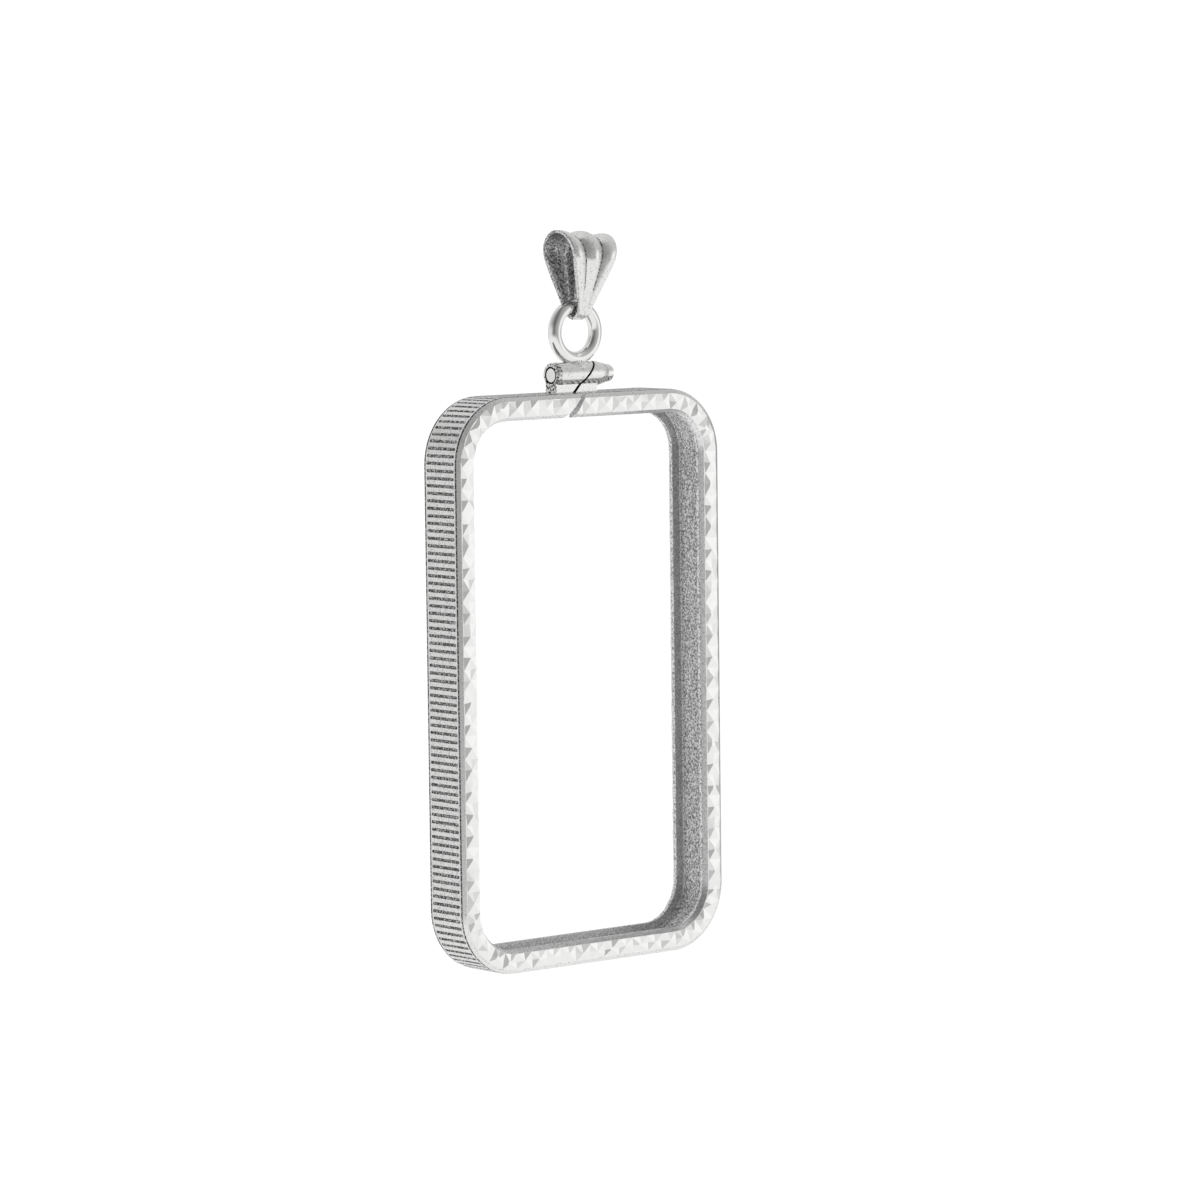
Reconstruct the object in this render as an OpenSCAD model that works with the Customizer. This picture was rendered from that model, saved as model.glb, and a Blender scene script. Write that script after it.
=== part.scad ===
// Rectangular coin-edge bezel for a one-ounce bar, with a screw closure, a soldered ring and a fluted bail.
// Built with X across the front, Y from front to back and Z up. Millimetres.
// The origin is the chain's seat: the middle of the inner ridges at the top of the bail.

/* [Band] */
// Width of the frame over the reeded edge
frame_w = 25.4; // [24:0.1:28]
// Height of the frame over the reeded edge
frame_h = 42.5; // [40:0.1:48]
// Outer radius of the frame's corners
corner_r = 4.9; // [4:0.1:6]
// Width of the reeded edge from front to back
reed_band_d = 3.56; // [3:0.02:4]
// Depth of the whole band from face to face
band_d = 4.28; // [4.1:0.02:5]
// How far the bright shoulder steps in from the reeded edge to the face
shoulder_in = 0.32; // [0.2:0.02:0.5]
// Width of the lip, from the reeded edge to the opening
lip_w = 1.75; // [1.4:0.05:2]
// Width of the small bevel at the lip's inner edge
bevel_w = 0.25; // [0.1:0.05:0.4]
// Depth of that bevel, from the flat at the facets' feet
bevel_d = 0.34; // [0.1:0.02:0.5]
// Depth of the groove that holds the bar, from the lip's inner edge
groove_in = 0.7; // [0.4:0.05:0.9]
// Width of the groove at its mouth
groove_mouth_d = 2.68; // [2:0.02:3]
// Width of the groove at its floor
groove_floor_d = 2.6; // [1.8:0.02:2.8]

/* [Reeding] */
// Number of reeds round the edge
reed_count = 232; // [160:4:260]
// Depth of the cuts between reeds
reed_cut = 0.12; // [0.05:0.01:0.2]
// Share of each pitch that is the reed's flat top
reed_land = 0.56; // [0.3:0.02:0.8]

/* [Facets] */
// Number of diamond-cut cells round each face
facet_count = 76; // [60:2:96]
// Height of the ridges between the facets above the flat at their foot
facet_rise = 0.14; // [0.06:0.01:0.2]
// Rim of the flat left round the facets, and the height of their lowest points over it
facet_rim = 0.03; // [0.02:0.01:0.05]

/* [Closure] */
// Outer radius of the barrel that the screw passes through
barrel_r = 0.93; // [0.85:0.01:1.1]
// Height of the barrel's axis above the reeded edge
barrel_rise = 1.33; // [1.1:0.01:1.6]
// Left end of the barrel, from the frame's centre line
barrel_left = -2.1; // [-2.6:0.05:-1.8]
// Right end of the barrel, from the frame's centre line
barrel_right = 2.95; // [2.6:0.05:3.4]
// Length of the taper at the barrel's right end
barrel_taper = 0.85; // [0.4:0.05:1.2]
// Radius of the barrel at the end of that taper
barrel_tip_r = 0.73; // [0.68:0.01:0.85]
// Rounding of the barrel's left end
barrel_round = 0.2; // [0.1:0.05:0.25]
// Radius of the hole for the screw
bore_r = 0.54; // [0.52:0.01:0.6]
// Radius of the countersink at the barrel's left end
recess_r = 0.645; // [0.6:0.005:0.7]
// Depth of that countersink
recess_d = 0.4; // [0.2:0.05:0.6]
// Thickness of the web that carries the barrel on the band
web_d = 1.24; // [1:0.02:1.5]
// Left end of the web, from the frame's centre line
web_left = -2.06; // [-2.06:0.02:-1.9]
// Right end of the web, from the frame's centre line
web_right = 1.9; // [1.6:0.05:2.2]
// Gap of the slanted cut that lets the band spring open
slit_gap = 0.22; // [0.1:0.02:0.4]
// Distance from the centre line to where the middle of the cut crosses the reeded edge, to the left
slit_x = 0.38; // [0.2:0.01:0.6]
// How much wider the cut is at the opening, where the band's right end stands off
slit_flare = 0.5; // [0.1:0.05:0.8]

/* [Screw] */
// Radius of the screw's shank
shank_r = 0.51; // [0.45:0.01:0.51]
// Gap between the screw's head and the barrel, and between its tip and the barrel's other end
head_gap = 0.02; // [0.01:0.01:0.05]
// Radius of the screw's head
head_r = 0.66; // [0.6:0.01:0.7]
// Length of the screw's head
head_l = 0.7; // [0.5:0.05:0.9]
// Rounding of the head's edge
head_round = 0.3; // [0.1:0.05:0.35]
// Width of the slot in the head
slot_w = 0.2; // [0.15:0.01:0.25]
// Depth of the slot in the head
slot_d = 0.28; // [0.2:0.02:0.4]

/* [Ring] */
// Radius of the ring at the middle of its wire
ring_r = 1.955; // [1.9:0.005:2.1]
// Radius of the ring's wire
wire_r = 0.5; // [0.45:0.01:0.5]
// Middle of the ring, from the frame's centre line
ring_x = 0.3; // [0.1:0.05:0.5]
// How far the ring is let into the barrel's solder
ring_sink = 0.265; // [0.2:0.005:0.35]
// Width of the solder round the ring's foot
solder_w = 0.14; // [0.05:0.01:0.2]
// Height of that solder over the barrel
solder_h = 0.32; // [0.2:0.02:0.4]

/* [Bail] */
// How far to the right of the ring's middle the bail sits on the wire
bail_off = 0.26; // [0:0.02:0.3]
// How far the bail leans to the right on the ring, in degrees
bail_lean = 4.6; // [0:0.2:6]
// Height of the bail's middle rib above the ring's top wire
bail_h = 5.58; // [5.2:0.02:6]
// Half width of the bail at its top
bail_top_w = 2.38; // [2:0.02:2.6]
// Half width of the bail at its tip
bail_tip_w = 0.48; // [0.35:0.01:0.5]
// Outer half depth of the bail at its round top, in the grooves
bail_top_r = 1.54; // [1.4:0.02:1.8]
// Clear radius inside the bail round the ring's wire
bail_low_r = 0.62; // [0.62:0.01:0.7]
// Thickness of the bail's wall at the top
bail_wall = 0.24; // [0.2:0.02:0.36]
// Extra thickness half way down the bail's sides, which makes them bulge
bail_belly = 0.16; // [0:0.02:0.2]
// Extra thickness where the bail's two ends are soldered at the tip
bail_tip_extra = 0.16; // [0:0.02:0.2]
// Height of the bail's ribs over the grooves between them, at the top
rib_h = 0.38; // [0.2:0.02:0.4]
// Distance from the middle rib to each outer rib, as a share of the half width
rib_apart = 0.75; // [0.7:0.01:0.8]
// How much further apart the ribs are at the top, as a share of the half width
rib_spread = 0.22; // [0:0.02:0.24]
// How much lower the outer ribs are at the strip's edges, as a share of their height
rib_drop = 0.2; // [0:0.05:0.4]

/* [Hidden] */
$fn = 96;
ring_fn = 48;
overlap = 0.01;

// Heights above the frame's centre
top_z = frame_h / 2;
axis_z = top_z + barrel_rise;
ring_z = axis_z + barrel_r - ring_sink + wire_r + ring_r;

// The bail hangs on the ring's wire beside its highest point
bail_x = ring_x + bail_off;
bail_z = ring_z + sqrt(ring_r * ring_r - bail_off * bail_off);

// The chain's seat is the origin
seat_rise = bail_h - rib_h - bail_wall;
seat_x = bail_x + seat_rise * sin(bail_lean);
seat_z = bail_z + seat_rise * cos(bail_lean);

// Straight stretches of the frame's outline between its corners
run_w = frame_w - 2 * corner_r;
run_h = frame_h - 2 * corner_r;
quarter = PI * corner_r / 2;
outline_l = 2 * (run_w + run_h) + 4 * quarter;

// A corner of the outline: its middle at one of the four signs, and the angle at which its arc starts
function corner_point(sx, sz, angle, cut) =
    [sx * run_w / 2 + (corner_r - cut) * cos(angle), sz * run_h / 2 + (corner_r - cut) * sin(angle)];

// Point of the outline at length s from the start of the right side, walked anticlockwise and cut in by a depth
function outline_point(s, cut) =
    s < run_h ? [frame_w / 2 - cut, s - run_h / 2]
    : s < run_h + quarter ? corner_point(1, 1, (s - run_h) / quarter * 90, cut)
    : s < run_h + quarter + run_w ? [run_w / 2 - (s - run_h - quarter), frame_h / 2 - cut]
    : s < run_h + 2 * quarter + run_w
        ? corner_point(-1, 1, 90 + (s - run_h - quarter - run_w) / quarter * 90, cut)
    : lower_point(s - run_h - 2 * quarter - run_w, cut);

function lower_point(s, cut) =
    s < run_h ? [cut - frame_w / 2, run_h / 2 - s]
    : s < run_h + quarter ? corner_point(-1, -1, 180 + (s - run_h) / quarter * 90, cut)
    : s < run_h + quarter + run_w ? [s - run_h - quarter - run_w / 2, cut - frame_h / 2]
    : corner_point(1, -1, 270 + (s - run_h - quarter - run_w) / quarter * 90, cut);

// Turns a flat XY shape extruded upwards into one that stands in XZ and runs from front to back
module stand_up() rotate([90, 0, 0]) children();

// The reeded outline as one slab: a flat land for each reed and a cut after it
module reeded_slab() {
    pitch = outline_l / reed_count;
    points = [
        for (i = [0:reed_count - 1])
            each [
                outline_point(i * pitch, 0),
                outline_point((i + reed_land) * pitch, 0),
                outline_point((i + (1 + reed_land) / 2) * pitch, reed_cut)
            ]
    ];
    stand_up() linear_extrude(height = band_d + 2, center = true) polygon(points);
}

// Distances from the band's middle to the flat at the facets' feet, and from the edge to the facets' inner side
face_y = band_d / 2 - facet_rise;
facet_in = lip_w - bevel_w;

// Half of the band's section, as distances in from the reeded edge and from the band's middle
half_section = [
    [0, reed_band_d / 2],
    [shoulder_in, face_y],
    [facet_in, face_y],
    [lip_w, face_y - bevel_d],
    [lip_w, groove_mouth_d / 2],
    [lip_w - groove_in, groove_floor_d / 2]
];

// The whole section at a radius from the corner's middle: front half, then the back half as its mirror
module band_section() {
    front = [for (p = half_section) [corner_r - p[0], -p[1]]];
    rear = [for (i = [len(half_section) - 1:-1:0]) [corner_r - half_section[i][0], half_section[i][1]]];
    polygon(concat(front, rear));
}

// One side of the band, centred on X = 0, with the reeded edge facing +Z
module band_side(length, reach)
    translate([0, 0, reach - corner_r]) rotate([0, -90, 0])
        linear_extrude(height = length, center = true) band_section();

// One corner of the band, for the right-hand upper quarter
module band_corner()
    translate([run_w / 2, 0, run_h / 2]) stand_up() rotate_extrude(angle = 90) band_section();

module band() {
    intersection() {
        union() {
            for (turn = [0, 180]) rotate([0, turn, 0]) {
                band_side(run_w, frame_h / 2);
                rotate([0, 90, 0]) band_side(run_h, frame_w / 2);
                band_corner();
                mirror([1, 0, 0]) band_corner();
            }
        }
        reeded_slab();
    }
}

// A point of the front face at length s round the outline, cut in and at a distance from the band's middle
function face_point(s, cut, y) = let (p = outline_point(s, cut)) [p[0], -y, p[1]];

// The facets on the front face. Two ridges cross in each cell and run to its corners, and the facets fall from
// them to the middles of the cell's sides. Each station is a row of five points from the outer foot to the inner.
module facet_row() {
    pitch = outline_l / facet_count;
    foot = face_y - overlap;
    low = face_y + facet_rim;
    high = band_d / 2;
    outer = shoulder_in + facet_rim;
    inner = facet_in - facet_rim;
    points = [
        for (i = [0:2 * facet_count - 1])
            let (s = i * pitch / 2, side = i % 2 == 0 ? high : low, centre = i % 2 == 0 ? low : high)
            each [
                face_point(s, outer, foot),
                face_point(s, outer, side),
                face_point(s, (outer + inner) / 2, centre),
                face_point(s, inner, side),
                face_point(s, inner, foot)
            ]
    ];
    // Corners of each strip between two stations: a is the near one with its ridge ends at the sides
    faces = [
        for (i = [0:2 * facet_count - 1])
            let (a = 5 * i, b = 5 * ((i + 1) % (2 * facet_count)))
            each concat(
                [[a, a + 1, b + 1], [a, b + 1, b]],
                i % 2 == 0
                    ? concat(
                        [[a + 1, a + 2, b + 2], [a + 1, b + 2, b + 1]],
                        [[a + 2, a + 3, b + 2], [a + 3, b + 3, b + 2]]
                    )
                    : concat(
                        [[a + 1, a + 2, b + 1], [a + 2, b + 2, b + 1]],
                        [[a + 2, a + 3, b + 3], [a + 2, b + 3, b + 2]]
                    ),
                [[a + 3, a + 4, b + 4], [a + 3, b + 4, b + 3], [a + 4, a, b], [a + 4, b, b + 4]]
            )
    ];
    polyhedron(points = points, faces = faces);
}

// The outer form of the barrel, turned about its own axis: a rounded left end and a tapered right end
module barrel_body()
    translate([0, 0, axis_z]) rotate([0, 90, 0]) rotate_extrude()
        polygon(concat(
            [[0, barrel_left]],
            [for (a = [0:15:90]) [
                barrel_r - barrel_round + barrel_round * sin(a),
                barrel_left + barrel_round - barrel_round * cos(a)
            ]],
            [[barrel_r, barrel_right - barrel_taper], [barrel_tip_r, barrel_right], [0, barrel_right]]
        ));

// The hole through the barrel, wider where the screw's tip ends
module barrel_hole()
    translate([0, 0, axis_z]) rotate([0, 90, 0]) {
        translate([0, 0, barrel_left - 1]) cylinder(r = bore_r, h = barrel_right - barrel_left + 2);
        translate([0, 0, barrel_left - 1]) cylinder(r = recess_r, h = recess_d + 1);
    }

// The web between the band and the barrel
module web()
    translate([web_left, -web_d / 2, top_z - lip_w / 2])
        cube([web_right - web_left, web_d, lip_w / 2 + barrel_rise]);

// The slanted cut through the band, the web and the barrel, from over the barrel to under the lip. In the band it
// widens to the right on its way down.
module slit() {
    high = barrel_rise + barrel_r + slit_gap;
    low = lip_w + slit_gap;
    side = slit_gap / sqrt(2);
    translate([-slit_x, 0, top_z]) stand_up() linear_extrude(height = 2 * band_d, center = true)
        polygon([
            [high - side, high],
            [-low - side, -low],
            [-low + side + slit_flare, -low],
            [side, 0],
            [high + side, high]
        ]);
}

// The closed ring, with the solder that runs round its foot
module ring() {
    translate([ring_x, 0, ring_z]) stand_up()
        rotate_extrude() translate([ring_r, 0]) circle(r = wire_r, $fn = ring_fn);
    translate([ring_x, 0, axis_z + barrel_r - solder_h])
        cylinder(r1 = wire_r + solder_w, r2 = wire_r - solder_w / 2, h = 2 * solder_h);
}

module bezel_frame() {
    color("silver") translate([-seat_x, 0, -seat_z]) difference() {
        union() {
            difference() {
                union() {
                    band();
                    facet_row();
                    mirror([0, 1, 0]) facet_row();
                    web();
                    barrel_body();
                }
                slit();
            }
            ring();
        }
        barrel_hole();
    }
}

module closure_screw() {
    tip = barrel_left + head_gap;
    head_start = barrel_right + head_gap;
    color("gainsboro") translate([-seat_x, 0, axis_z - seat_z]) rotate([0, 90, 0]) difference() {
        rotate_extrude()
            polygon(concat(
                [[0, tip], [shank_r, tip], [shank_r, head_start], [head_r, head_start]],
                [for (a = [0:15:90]) [
                    head_r - head_round + head_round * cos(a),
                    head_start + head_l - head_round + head_round * sin(a)
                ]],
                [[0, head_start + head_l]]
            ));
        translate([-slot_w / 2, -head_r - 1, head_start + head_l - slot_d]) cube([slot_w, 2 * head_r + 2, 1]);
    }
}

// The bail's loop seen from the side: a small circle round the ring's wire and a large one at the top, joined
// by straight sides. Each station is [y, z, normal y, normal z, share of the way from tip to top].
top_mid = bail_h - rib_h - bail_top_r;
inner_top_r = bail_top_r - bail_wall;
side_tilt = asin((inner_top_r - bail_low_r) / top_mid);
low_steps = 7;
side_steps = 6;
top_steps = 8;
// Shares of the way from tip to top at which the lower circle ends and the upper one starts
low_share = 0.13;
top_share = 0.62;

function low_station(i) =
    let (a = -90 + (90 - side_tilt) * i / low_steps)
    [bail_low_r * cos(a), bail_low_r * sin(a), cos(a), sin(a), low_share * i / low_steps];

function side_station(i) =
    let (a = -side_tilt, t = i / side_steps)
    [
        (bail_low_r + (inner_top_r - bail_low_r) * t) * cos(a),
        (bail_low_r + (inner_top_r - bail_low_r) * t) * sin(a) + top_mid * t,
        cos(a), sin(a), low_share + (top_share - low_share) * t
    ];

function top_station(i) =
    let (a = -side_tilt + (90 + side_tilt) * i / top_steps)
    [
        inner_top_r * cos(a),
        top_mid + inner_top_r * sin(a),
        cos(a), sin(a), top_share + (1 - top_share) * i / top_steps
    ];

half_loop = concat(
    [for (i = [0:low_steps - 1]) low_station(i)],
    [for (i = [0:side_steps - 1]) side_station(i)],
    [for (i = [0:top_steps]) top_station(i)]
);
half_n = len(half_loop);

// The whole loop: front half from tip to top, then the back half down again, without its two shared stations
loop = concat(
    [for (s = half_loop) [-s[0], s[1], -s[2], s[3], s[4]]],
    [for (i = [half_n - 2:-1:1]) half_loop[i]]
);

// Half width of the strip at a share of the way from tip to top. Its tip is rounded off: the rounding starts part
// of the way along its arc, so that the tip has some width, and ends a ninth of the way up. The rest flares like
// a sine.
tip_start = 0.35;
tip_growth = 6;
flare = 1.5;
function strip_w(t) =
    bail_tip_w * sqrt(1 - pow(1 - min(1, tip_start + tip_growth * t), 2))
    + (bail_top_w - bail_tip_w) * pow(sin(90 * t), flare);

// Height of the ribs at a share of the way from tip to top: low at the tip and whole well before the top
rib_start = 0.1;
rib_growth = 1.1;
function rib_rise(t) = rib_h * min(1, rib_start + rib_growth * t);

across_n = 16;
function across(j) = 2 * j / across_n - 1;
function flute(t, j) =
    let (x = across(j)) (1 - rib_drop * x * x) * abs(cos(180 * x / (rib_apart + rib_spread * pow(t, 4))));

// One corner point of the strip's section at a station: 0 is the inner side, 1 the outer
function strip_point(s, j, side) =
    let (
        tip = pow(1 - min(1, s[4] / low_share), 2),
        wall = bail_wall + bail_belly * pow(sin(180 * s[4]), 2) + bail_tip_extra * tip,
        off = rib_rise(s[4]) * flute(s[4], j) + side * wall
    )
    [across(j) * strip_w(s[4]), s[0] + off * s[2], s[1] + off * s[3]];

// Points of one station: the outer side from left to right, then the inner side from right to left
function station_points(s) = concat(
    [for (j = [0:across_n]) strip_point(s, j, 1)],
    [for (j = [across_n:-1:0]) strip_point(s, j, 0)]
);

module bail() {
    row = 2 * (across_n + 1);
    count = len(loop);
    points = [for (s = loop) each station_points(s)];
    faces = [
        for (i = [0:count - 1], k = [0:row - 1])
            let (
                a = i * row + k,
                b = i * row + (k + 1) % row,
                c = ((i + 1) % count) * row + (k + 1) % row,
                d = ((i + 1) % count) * row + k
            )
            each [[a, b, c], [a, c, d]]
    ];
    color("lightgray") translate([bail_x - seat_x, 0, bail_z - seat_z]) rotate([0, bail_lean, 0])
        polyhedron(points = points, faces = faces);
}

bezel_frame();
closure_screw();
bail();
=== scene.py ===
"""Coin-edge bezel for a one-ounce bar, in sterling silver: a reeded band with diamond-cut lips, a screw
closure with a soldered ring, and a fluted bail. Laid out as an add-on: each operator makes one piece, and
main() calls them all."""

import math

import bmesh
import bpy
from bpy.props import FloatProperty, FloatVectorProperty, IntProperty, PointerProperty
from bpy.types import Operator, Panel, PropertyGroup
from mathutils import Matrix, Vector


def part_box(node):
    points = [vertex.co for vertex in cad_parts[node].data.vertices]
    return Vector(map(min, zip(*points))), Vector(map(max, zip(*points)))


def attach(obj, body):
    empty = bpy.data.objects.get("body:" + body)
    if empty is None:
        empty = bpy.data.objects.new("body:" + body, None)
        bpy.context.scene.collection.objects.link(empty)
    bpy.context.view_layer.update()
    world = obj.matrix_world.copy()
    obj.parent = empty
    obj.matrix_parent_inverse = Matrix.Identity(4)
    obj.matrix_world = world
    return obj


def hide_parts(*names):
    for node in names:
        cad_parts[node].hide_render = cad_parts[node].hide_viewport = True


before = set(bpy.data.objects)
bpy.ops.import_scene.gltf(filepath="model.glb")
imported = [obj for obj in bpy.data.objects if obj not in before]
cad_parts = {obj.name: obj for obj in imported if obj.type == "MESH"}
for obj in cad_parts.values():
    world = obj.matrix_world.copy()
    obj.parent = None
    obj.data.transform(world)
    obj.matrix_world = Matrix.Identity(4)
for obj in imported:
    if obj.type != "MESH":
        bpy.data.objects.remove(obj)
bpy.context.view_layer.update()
FRAME_LOW, FRAME_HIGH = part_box("bezel_frame")
SCREW_LOW, SCREW_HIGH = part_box("closure_screw")

bl_info = {
    "name": "Coin-edge bar bezel",
    "version": (1, 0, 0),
    "blender": (4, 5, 0),
    "location": "3D View > Sidebar > Bezel",
    "description": "Makes a silver bar bezel with its screw closure, ring and bail",
    "category": "Object",
}

MM = 0.001
# Points of the facets' cutter nearer than this are one point: of its sheet, and of the closed cutter
SHEET_WELD, CUTTER_WELD = 0.02 * MM, 0.001 * MM
# How fine and how uneven the marks in the metal are within their grain
MARK_DETAIL, MARK_ROUGHNESS = 3.0, 0.6


def length(name, millimetres, description):
    """A length property whose default is given in millimetres."""
    default = millimetres * MM
    return FloatProperty(name=name, description=description, default=default, unit="LENGTH", precision=5)


def portion(name, default, description):
    """A property for a share of something, from nothing to all of it."""
    return FloatProperty(name=name, description=description, default=default, min=0, max=1, subtype="FACTOR")


def grey(name, hex_code, description):
    """A colour property whose default is an sRGB hex code."""
    return FloatVectorProperty(
        name=name, description=description, default=linear(hex_code), subtype="COLOR", size=4, min=0, max=1
    )


def linear(hex_code):
    """Linear RGBA of an sRGB hex code."""
    parts = [int(hex_code[i : i + 2], 16) / 255 for i in (1, 3, 5)]
    return tuple(p / 12.92 if p <= 0.04045 else ((p + 0.055) / 1.055) ** 2.4 for p in parts) + (1.0,)


class BandSizes(PropertyGroup):
    """The frame's band, its reeds and its diamond-cut facets."""

    frame_w: FloatProperty(
        name="Width", description="Over the reeded edge", default=FRAME_HIGH.x - FRAME_LOW.x, unit="LENGTH"
    )
    frame_h: length("Height", 42.5, "Over the reeded edge")
    band_d: FloatProperty(
        name="Depth", description="From face to face", default=FRAME_HIGH.y - FRAME_LOW.y, unit="LENGTH"
    )
    corner_r: length("Corner radius", 4.9, "At the reeded edge")
    reed_band_d: length("Reeded width", 3.56, "Of the edge, from front to back")
    crease_d: length("Crease depth", 0.07, "Of the fine line between the reeded edge and the shoulder")
    crease_w: length("Crease width", 0.09, "Half of that line's width")
    shoulder_in: length("Shoulder", 0.32, "From the reeded edge in to the face")
    lip_w: length("Lip width", 1.75, "From the reeded edge to the opening")
    bevel_w: length("Bevel width", 0.25, "Of the bevel at the opening")
    bevel_d: length("Bevel depth", 0.34, "Of that bevel, from the facets' foot")
    groove_in: length("Groove depth", 0.7, "From the lip's inner edge to the groove's floor")
    groove_mouth_d: length("Groove mouth", 2.68, "Width of the groove that holds the bar")
    groove_floor_d: length("Groove floor", 2.6, "Width of that groove at its floor")
    seam_d: length("Seam", 0.1, "Width of the shallow chamfer along each side of the groove's floor")
    reed_count: IntProperty(name="Reeds", description="Cuts round the edge", default=232, min=40)
    reed_r: length("Reed cut radius", 0.14, "Of the round cutter between two reeds")
    reed_lift: length("Reed cutter's lift", 0.07, "From the reeds' tops out to the cutter's middle")
    reed_end: length("Reed end", 0.09, "Plain strip left between the cuts' round ends and the edge's crease")
    facet_rise: length("Facet relief", 0.13, "Height of the facets' ridges over their lowest points")
    facet_rim: length("Facet rim", 0.02, "Height of the facets' lowest points over the flat at their foot")
    side_cells: IntProperty(name="Side cells", description="Diamond-cut cells on each long side", default=20)
    end_cells: IntProperty(name="End cells", description="Diamond-cut cells on each short side", default=11)
    corner_cells: IntProperty(name="Corner cells", description="Diamond-cut cells on each corner", default=5)
    facet_drift: length("Facet drift", 0.15, "How far the hand-guided cutter wanders between cells")
    seed: IntProperty(name="Seed", description="Of the facets' drift", default=7)


class ClosureSizes(PropertyGroup):
    """The barrel on the band, the ring soldered on it and the screw through it."""

    barrel_r: length("Barrel radius", 0.93, "Of the tube that the screw passes through")
    barrel_left: length("Barrel's left end", -2.1, "From the frame's centre line")
    barrel_right: length("Barrel's right end", 2.95, "From the frame's centre line")
    barrel_taper: length("Taper", 0.85, "Length of the taper at the barrel's right end")
    barrel_tip_r: length("Taper's end radius", 0.73, "Radius of the barrel at the screw's head")
    barrel_round: length("Barrel rounding", 0.2, "Of its left end")
    rough_l: length("Rough end", 0.42, "Length at the barrel's left end that isn't buffed")
    bore_r: length("Bore radius", 0.54, "Of the hole for the screw")
    recess_r: length("Countersink radius", 0.645, "At the barrel's left end")
    recess_d: length("Countersink depth", 0.4, "At the barrel's left end")
    web_d: length("Web thickness", 1.24, "Of the web between the band and the barrel")
    web_left: length("Web's left end", -2.06, "From the frame's centre line")
    web_right: length("Web's right end", 1.9, "From the frame's centre line")
    slit_gap: length("Slit", 0.22, "Width of the slanted cut that lets the band spring open")
    slit_x: length("Slit's place", 0.38, "Left of the centre line, where the cut crosses the reeded edge")
    slit_flare: length("Slit's flare", 0.5, "How much wider the cut is at the opening")
    slit_close: length("Slit's close", 0.3, "How much narrower the cut is 5 mm above the reeded edge")
    ring_r: length("Ring radius", 1.955, "At the middle of its wire")
    wire_r: length("Wire radius", 0.5, "Of the ring")
    ring_x: length("Ring's place", 0.3, "Right of the frame's centre line")
    ring_sink: length("Ring sink", 0.265, "How far the ring is let into the barrel's solder")
    foot_r: length("Solder half width", 0.8, "Across the barrel, round the ring's foot")
    foot_l: length("Solder half length", 1.35, "Along the barrel, under the ring")
    shank_r: length("Shank radius", 0.51, "Over the screw's thread")
    thread_pitch: length("Thread pitch", 0.3, "Of the screw")
    thread_d: length("Thread depth", 0.06, "Of the screw")
    head_r: length("Head radius", 0.66, "Of the screw's head")
    head_l: length("Head length", 0.7, "Of the screw's head")
    head_round: length("Head rounding", 0.3, "Of the head's edge")
    slot_w: length("Slot width", 0.2, "Of the slot in the screw's head")
    slot_d: length("Slot depth", 0.28, "Of the slot in the screw's head")


class BailSizes(PropertyGroup):
    """The fluted bail on the ring."""

    off: length("Place", 0.26, "Right of the ring's middle, on its wire")
    lean: FloatProperty(
        name="Lean", description="To the right, on the ring", default=math.radians(4.6), subtype="ANGLE"
    )
    height: length("Height", 5.58, "Of the middle rib above the ring's top wire")
    top_w: length("Half width at the top", 2.38, "Of the strip")
    tip_w: length("Half width at the tip", 0.48, "Of the strip")
    top_r: length("Top radius", 1.54, "Half depth at the round top, in the grooves")
    low_r: length("Low radius", 0.69, "Clear radius round the ring's wire, so that the ring can swing")
    wall: length("Wall", 0.24, "Thickness of the strip at the top")
    belly: length("Belly", 0.16, "Extra thickness half way down the sides")
    tip_extra: length("Tip's extra wall", 0.09, "Where the strip's two ends are soldered")
    rib_h: length("Rib height", 0.38, "Over the grooves beside it")
    rib_apart: portion("Rib spacing", 0.75, "As a share of the half width")
    rib_spread: portion("Rib spread", 0.22, "Further spacing at the top, as such a share")
    rib_drop: portion("Rib drop", 0.2, "Share of their height that the outer ribs lose")


class FinishColours(PropertyGroup):
    """The greys that the differently worked silver surfaces show. The groove grey and the near-black bore
    grey are painted shade.
    """

    buffed: grey("Buffed silver", "#F6F6F5", "Barrel, ring, shoulders, screw and the bail's outside")
    cut: grey("Diamond-cut silver", "#FBFBFA", "The facets on the lips")
    land: grey("Milled land", "#F1F1F0", "Reeds' tops, the lips' inner edges, filed edges and the cast end")
    # Darker than the silver round it: painted shade in the reeds' cuts, the creases and the screw's slot
    groove: grey("Milled groove", "#DADADA", "The cuts between the reeds, the creases and the screw's slot")
    channel: grey("Tumbled channel", "#ECECEC", "The floor of the groove that holds the bar")
    wall: grey("Turned wall", "#FAFAFA", "The groove's side walls, the bevel and the saw cut")
    stamped: grey("Stamped silver", "#E4E4E4", "The bail's inside and the bottoms of its flutes")
    # Near black: painted shade in the bore, the countersink and the crack in the barrel
    bore: grey("Bore", "#2C2C2C", "The inside of the barrel")


# Geometry helpers


def new_object(name, data):
    """An object in the scene for a mesh, a curve or a camera."""
    made = bpy.data.objects.new(name, data)
    bpy.context.scene.collection.objects.link(made)
    return made


def solid(name, points, faces, materials, finishes=(), place=None):
    """A mesh object from points and faces, with its faces turned outwards. Finishes has a number for each
    face where there is more than one material, and place moves the points."""
    mesh = bpy.data.meshes.new(name)
    mesh.from_pydata(points, [], faces)
    if finishes:
        mesh.polygons.foreach_set("material_index", finishes)
    for material in materials:
        mesh.materials.append(material)
    shape = bmesh.new()
    shape.from_mesh(mesh)
    bmesh.ops.recalc_face_normals(shape, faces=shape.faces)
    shape.to_mesh(mesh)
    shape.free()
    if place is not None:
        mesh.transform(place)
    return new_object(name, mesh)


def strip(here, ahead, count):
    """Faces between two rings of points, whose first points have the given numbers."""
    return [(here + k, here + (k + 1) % count, ahead + (k + 1) % count, ahead + k) for k in range(count)]


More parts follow.
